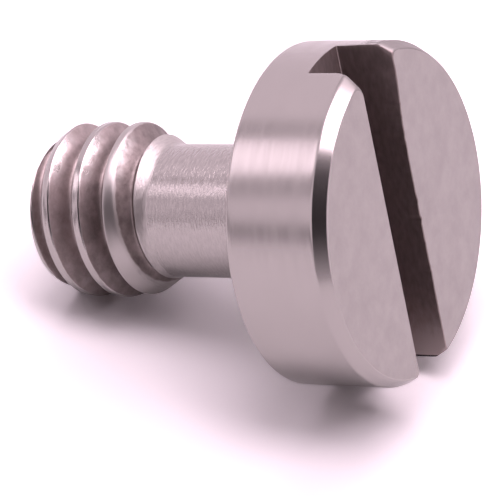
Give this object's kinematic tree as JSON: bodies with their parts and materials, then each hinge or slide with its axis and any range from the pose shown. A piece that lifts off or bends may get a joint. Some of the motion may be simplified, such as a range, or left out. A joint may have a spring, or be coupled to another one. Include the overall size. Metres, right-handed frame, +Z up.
{
  "type": "tripod adapter screw",
  "caption": "Short slotted camera screw: wide flat cheese head with a bevelled rim, plain reduced neck and a coarse quarter-inch thread at the tip.",
  "frame": {"origin": "middle of the screw's outline on the ground that it lies on", "axes": "+Z up; the screw lies on its head's rim and its thread, with the head towards +X and the tip dipping towards -X"},
  "size_m": [0.0156, 0.012, 0.0124],
  "materials": {
    "steel": "turned stainless steel, satin with fine turning marks, bevel and crests brighter, slot walls dark"
  },
  "bodies": {
    "root": {"tripod_screw": "steel"}
  },
  "joints": []
}
